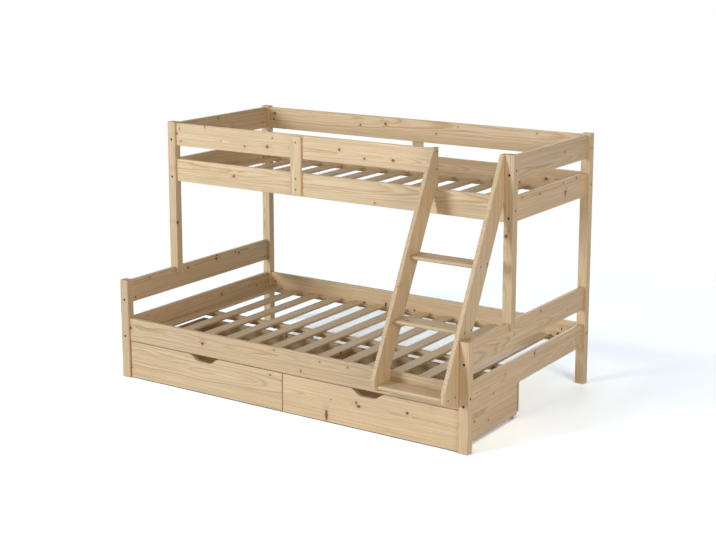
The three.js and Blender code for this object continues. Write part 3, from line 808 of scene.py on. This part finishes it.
def barrel_nut():
    """A barrel nut with a screwdriver slot in its visible end."""
    shape = bmesh.new()
    turned(shape, NUT_RADIUS, NUT_RADIUS, NUT_TOP - NUT_LONG, NUT_TOP)
    ease_rim(shape, NUT_EASE)
    face = inset_top(shape, NUT_RIM)
    half = SLOT_WIDE / 2
    parts = cut_lines(shape, face, [((hand * half, 0, 0), X) for hand in (-1, 1)])
    sink(shape, [part for part in parts if abs(part.calc_center_median().x) < half], SLOT_DEEP)
    return as_mesh("barrel_nut", shape, FASTENER_SHARP)


print("a nut is", round(NUT_LONG * MM), "mm long")

# %% [markdown]
# A wood screw shows a countersunk head with a cross recess. Four cuts part the head's middle in nine, and
# the five that form a plus are sunk. Everything about it follows from the radius of its head.

# %% The screw
PROUD = 0.0002
SCREW_EASE = 0.0002
SCREW_SIDES = 20
CONE_SHARE = 0.7
RIM_PART, PLUS_PART = 3, 7
TIP_SIDES = 12
TIP_SHARE = 0.4


def wood_screw(head, length):
    """A countersunk wood screw with a given head radius, a hair proud of the wood around it."""
    shape = bmesh.new()
    shank, under = head / 2, PROUD - head * CONE_SHARE
    turned(shape, shank, head, under, PROUD, SCREW_SIDES)
    ease_rim(shape, SCREW_EASE)
    face = inset_top(shape, head / RIM_PART)
    half = head / PLUS_PART
    planes = [((hand * half, 0, 0), X) for hand in (-1, 1)]
    planes += [((0, hand * half, 0), Y) for hand in (-1, 1)]
    plus = []
    for part in cut_lines(shape, face, planes):
        middle = part.calc_center_median()
        if min(abs(middle.x), abs(middle.y)) < half:
            plus.append(part)
    sink(shape, plus, head / RIM_PART)
    turned(shape, shank * TIP_SHARE, shank, -length, under, TIP_SIDES)
    return as_mesh("wood_screw", shape, FASTENER_SHARP)


print("screws stand", PROUD * MM, "mm proud")

# %% [markdown]
# Where the bolts go follows from the boards: each end of a board has one, at a fixed height over the board's
# lower edge, and its nut lies 32 mm in from that end, in the board's inner face. At its right end the front
# guard stops at the ladder, so a shorter bolt holds the ladder's stringer to the post there, without a nut.

# %% Bolts and nuts
NUT_INSET = 0.032
END_BOLTS = {"bed": 0.024, "headboard": 0.021, "bunk": 0.023, "guard": 0.032}
RAIL_BOLTS = {"rail_bed_front": 0.059, "rail_bed_rear": 0.068, "rail_bunk_front": 0.058,
              "rail_bunk_rear": 0.058, "guard_front": 0.053, "guard_rear": 0.053}
END_BOLT_LONG, RAIL_BOLT_LONG, LADDER_BOLT_LONG = 0.080, 0.085, 0.050

bolts_y, bolts_x, ladder_bolt, nuts = [], [], [], []
for side, inward in (("left", X), ("right", -X)):
    for level, rise in END_BOLTS.items():
        low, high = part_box(f"end_board_{level}_{side}")
        front_post = "post_front_" if level in ("bed", "headboard") else "post_upper_"
        middle, height = (low.x + high.x) / 2, low.z + rise
        bolts_y.append(((middle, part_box(front_post + side)[0].y, height), -Y))
        bolts_y.append(((middle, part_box("post_rear_" + side)[1].y, height), Y))
        inner = high.x if side == "left" else low.x
        nuts += [((inner, y, height), inward) for y in (low.y + NUT_INSET, high.y - NUT_INSET)]
bed_left, bed_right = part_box("post_rear_left")[0].x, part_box("post_rear_right")[1].x
for name, rise in RAIL_BOLTS.items():
    low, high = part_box(name)
    middle, height = (low.y + high.y) / 2, low.z + rise
    inner, inward = (high.y, Y) if name.endswith("front") else (low.y, -Y)
    bolts_x.append(((bed_left, middle, height), -X))
    nuts.append(((low.x + NUT_INSET, inner, height), inward))
    if name == "guard_front":
        ladder_bolt.append(((bed_right, middle, height), X))
    else:
        bolts_x.append(((bed_right, middle, height), X))
        nuts.append(((high.x - NUT_INSET, inner, height), inward))

stamp("bolts_of_end_boards", bolt(END_BOLT_LONG), bolts_y, "frame", black_steel)
stamp("bolts_of_rails", bolt(RAIL_BOLT_LONG), bolts_x, "frame", black_steel)
stamp("bolt_of_ladder", bolt(LADDER_BOLT_LONG), ladder_bolt, "frame", black_steel)
stamp("barrel_nuts", barrel_nut(), nuts, "frame", black_steel)

# %% [markdown]
# Two black screws go through each stringer into each tread, two more through the left one into the guard's
# end, and three hold each batten on its centre line.

# %% Screws of ladder and battens
BLACK_HEAD, BLACK_LONG = 0.0052, 0.030
TREAD_SCREWS_IN = (0.014, 0.075)
TREAD_SCREW_DOWN = 0.007
GUARD_SCREWS_UP = (0.021, 0.105)
GUARD_SCREW_IN = 0.005
BATTEN_ON_GUARD, BATTEN_ON_RAIL = (0.083,), (0.091, 0.035)

guard_low, rail_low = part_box("guard_front")[0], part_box("rail_bunk_front")[0]
stringer_left, stringer_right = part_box("stringer_left"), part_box("stringer_right")
black_places = []
for name in ("tread_1", "tread_2", "tread_3"):
    low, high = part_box(name)
    for behind in TREAD_SCREWS_IN:
        y, height = low.y + behind, high.z - TREAD_SCREW_DOWN
        black_places.append(((stringer_right[1].x, y, height), X))
        black_places.append(((stringer_left[0].x, y, height), -X))
for rise in GUARD_SCREWS_UP:
    black_places.append(((stringer_left[1].x, guard_low.y + GUARD_SCREW_IN, guard_low.z + rise), X))
heights = [guard_low.z + rise for rise in BATTEN_ON_GUARD] + [rail_low.z + rise for rise in BATTEN_ON_RAIL]
for name, outward in (("batten_front", -Y), ("batten_rear", Y)):
    low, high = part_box(name)
    face = high.y if name == "batten_rear" else low.y
    black_places += [(((low.x + high.x) / 2, face, height), outward) for height in heights]
stamp("ladder_and_batten_screws", wood_screw(BLACK_HEAD, BLACK_LONG), black_places, "frame", black_steel)

# %% [markdown]
# Every slat is held by one screw at each end, and on the wide bed by one more in the middle beam. The strips
# below are screwed to their rails from inside.

# %% Screws of slats and strips
SLAT_HEAD, SLAT_SCREW_LONG = 0.0035, 0.022
SLAT_SCREW_IN = 0.009
STRIP_SHARES = (0.04, 0.27, 0.5, 0.73, 0.96)

slat_places, strip_places = [], []
for name, strip_name in (("slats_bed", "strip_bed_front"), ("slats_bunk", "strip_bunk_front")):
    low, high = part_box(name)
    ends = [low.y + SLAT_SCREW_IN, high.y - SLAT_SCREW_IN]
    if name == "slats_bed":
        beam_low, beam_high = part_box("beam_bed")
        ends.append((beam_low.y + beam_high.y) / 2)
    for number in range(SLAT_COUNT):
        x = first + (number + 0.5) * pitch
        slat_places += [((x, y, high.z), Z) for y in ends]
    strip_low, strip_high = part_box(strip_name)
    strip_wide = strip_high.y - strip_low.y
    height = (strip_low.z + strip_high.z) / 2
    for share in STRIP_SHARES:
        x = strip_low.x + share * (strip_high.x - strip_low.x)
        strip_places.append(((x, strip_high.y, height), Y))
        strip_places.append(((x, high.y - strip_wide, height), -Y))
slat_screw = wood_screw(SLAT_HEAD, SLAT_SCREW_LONG)
stamp("slat_screws", slat_screw, slat_places, "frame", yellow_steel)
stamp("strip_screws", slat_screw, strip_places, "frame", yellow_steel)

# %% [markdown]
# Each drawer's back is screwed to its sides, and each castor bracket is held by two screws in its wings.

# %% Screws of the drawers
BACK_HEAD, BACK_SCREW_LONG = 0.004, 0.035
BACK_SHARES = (0.15, 0.5, 0.85)
SIDE_THICK = 0.015
WING_HEAD, WING_SCREW_LONG = 0.0029, 0.012
WING_SCREW_IN, WING_SCREW_DOWN = 0.0045, 0.0065

for side in ("left", "right"):
    body = f"drawer_{side}"
    low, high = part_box(f"drawer_back_{side}")
    back_places = []
    for x in (low.x + SIDE_THICK / 2, high.x - SIDE_THICK / 2):
        back_places += [((x, high.y, low.z + share * (high.z - low.z)), Y) for share in BACK_SHARES]
    stamp(f"drawer_back_screws_{side}", wood_screw(BACK_HEAD, BACK_SCREW_LONG), back_places, body,
          yellow_steel)
    wing_places = []
    for end in ("front", "rear"):
        for hand, inward in (("left", X), ("right", -X)):
            low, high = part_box(f"castor_{side}_{end}_{hand}")
            face = high.x if hand == "left" else low.x
            for y in (low.y + WING_SCREW_IN, high.y - WING_SCREW_IN):
                wing_places.append(((face, y, high.z - WING_SCREW_DOWN), inward))
    stamp(f"castor_screws_{side}", wood_screw(WING_HEAD, WING_SCREW_LONG), wing_places, body, yellow_steel)

# %% [markdown]
# ## The studio
# Little light comes from all around, which leaves the slats' shadows deep. The white around the bed is only
# what the camera sees of the world, straight on or in metal and gloss.

# %% World
bpy.context.scene.view_settings.view_transform = "Standard"
WHITE = (1, 1, 1, 1)
SKY, SKY_STRENGTH = "f6f3ee", 0.16


def ways_seen(tree):
    """Two masks: what the camera sees straight, and what it sees in a reflection or through glass."""
    path = add(tree, "ShaderNodeLightPath")
    mirrored = add(tree, MATH, {0: path.outputs["Is Glossy Ray"], 1: path.outputs["Is Transmission Ray"]},
                   operation="MAXIMUM")
    return path.outputs["Is Camera Ray"], mirrored.outputs[0]


world = bpy.data.worlds.new("studio")
world.use_nodes = True
bpy.context.scene.world = world
tree = world.node_tree
tree.nodes.clear()
light = add(tree, "ShaderNodeBackground", {"Color": straight(SKY), "Strength": SKY_STRENGTH})
white = add(tree, "ShaderNodeBackground", {"Color": WHITE, "Strength": 1.0})
straight_on, mirrored = ways_seen(tree)
seen = add(tree, MATH, {0: straight_on, 1: mirrored}, operation="MAXIMUM")
both = add(tree, "ShaderNodeMixShader", {0: seen, 1: light, 2: white})
add(tree, "ShaderNodeOutputWorld", {"Surface": both})
print(world.name, "lights the bed with", SKY_STRENGTH)

# %% [markdown]
# The floor is matt and pale to the light. The camera sees its shading lifted until open floor is white, so
# that what is left is the bed's own shadow. Where wood meets floor an occlusion node paints extra shade into
# the lifted colour, a painted contact shade. Blue is lifted most, because the lamp on the right and the
# light that the timber throws back are warm. Further out the floor fades to plain white and meets the white
# of the world.

# %% Floor
FLOOR_HALF = 14
FLOOR_PALE = "e8e8e8"
LIFTED = (2.45, 2.85, 3.3, 1)
# How far from any part the painted contact shade reaches, in metres.
PAINTED_SHADE_REACH = 0.02
FADE_FROM, FADE_TO = 1.5, 3.2

paint, tree = blank_material("matt_white_floor")
straight_on, mirrored = ways_seen(tree)
place_at = add(tree, "ShaderNodeTexCoord")
away = add(tree, VECTOR, {0: place_at.outputs["Object"]}, operation="LENGTH").outputs["Value"]
fade = add(tree, SPAN, {0: away, 1: FADE_FROM, 2: FADE_TO})
matt = add(tree, "ShaderNodeBsdfDiffuse", {"Color": straight(FLOOR_PALE)})
# Painted contact shade: the occlusion node darkens the lifted floor colour close to wood and other parts.
painted_contact_shade = add(tree, "ShaderNodeAmbientOcclusion", {"Distance": PAINTED_SHADE_REACH, "Color": LIFTED})
lifted = add(tree, "ShaderNodeBsdfDiffuse", {"Color": painted_contact_shade})
plain = add(tree, "ShaderNodeEmission", {"Color": WHITE, "Strength": 1.0})
faded = add(tree, "ShaderNodeMixShader", {0: fade, 1: lifted, 2: plain})
lit = add(tree, "ShaderNodeMixShader", {0: straight_on, 1: matt, 2: faded})
both = add(tree, "ShaderNodeMixShader", {0: mirrored, 1: lit, 2: plain})
add(tree, "ShaderNodeOutputMaterial", {"Surface": both})

shape = bmesh.new()
bmesh.ops.create_grid(shape, x_segments=1, y_segments=1, size=FLOOR_HALF)
floor = show(as_mesh("floor", shape, FASTENER_SHARP), paint)
print(floor.name, 2 * FLOOR_HALF, "m wide")

# %% [markdown]
# A large soft lamp stands to the left of the camera and a weaker one to its right, so that the fronts are
# bright and the sides a step darker. A faint one hangs above, and a low one behind the bed keeps the rear
# boards from going grey. Each lamp has its place, its size, its power in watts and its colour.

# %% Lamps
AIM = Vector((0, 0, 0.6))
LAMPS = (
    ("key_lamp", (-4.6, -9.0, 3.3), 3.0, 620, "f8fbfe"),
    ("fill_lamp", (6.2, -3.0, 2.2), 3.0, 158, "fff1e4"),
    ("top_lamp", (-0.6, -0.8, 5.0), 3.0, 22, "fff6ec"),
    ("rear_lamp", (-1.5, 6.5, 1.2), 2.2, 75, "fffaf4"),
)
for name, spot, size, watts, colour in LAMPS:
    lamp = bpy.data.lights.new(name, "AREA")
    lamp.size = size
    lamp.energy = watts
    lamp.color = straight(colour)[:3]
    holder = bpy.data.objects.new(name, lamp)
    holder.location = spot
    holder.rotation_euler = (AIM - Vector(spot)).to_track_quat("-Z", "Y").to_euler()
    bpy.context.scene.collection.objects.link(holder)
print(len(LAMPS), "lamps")
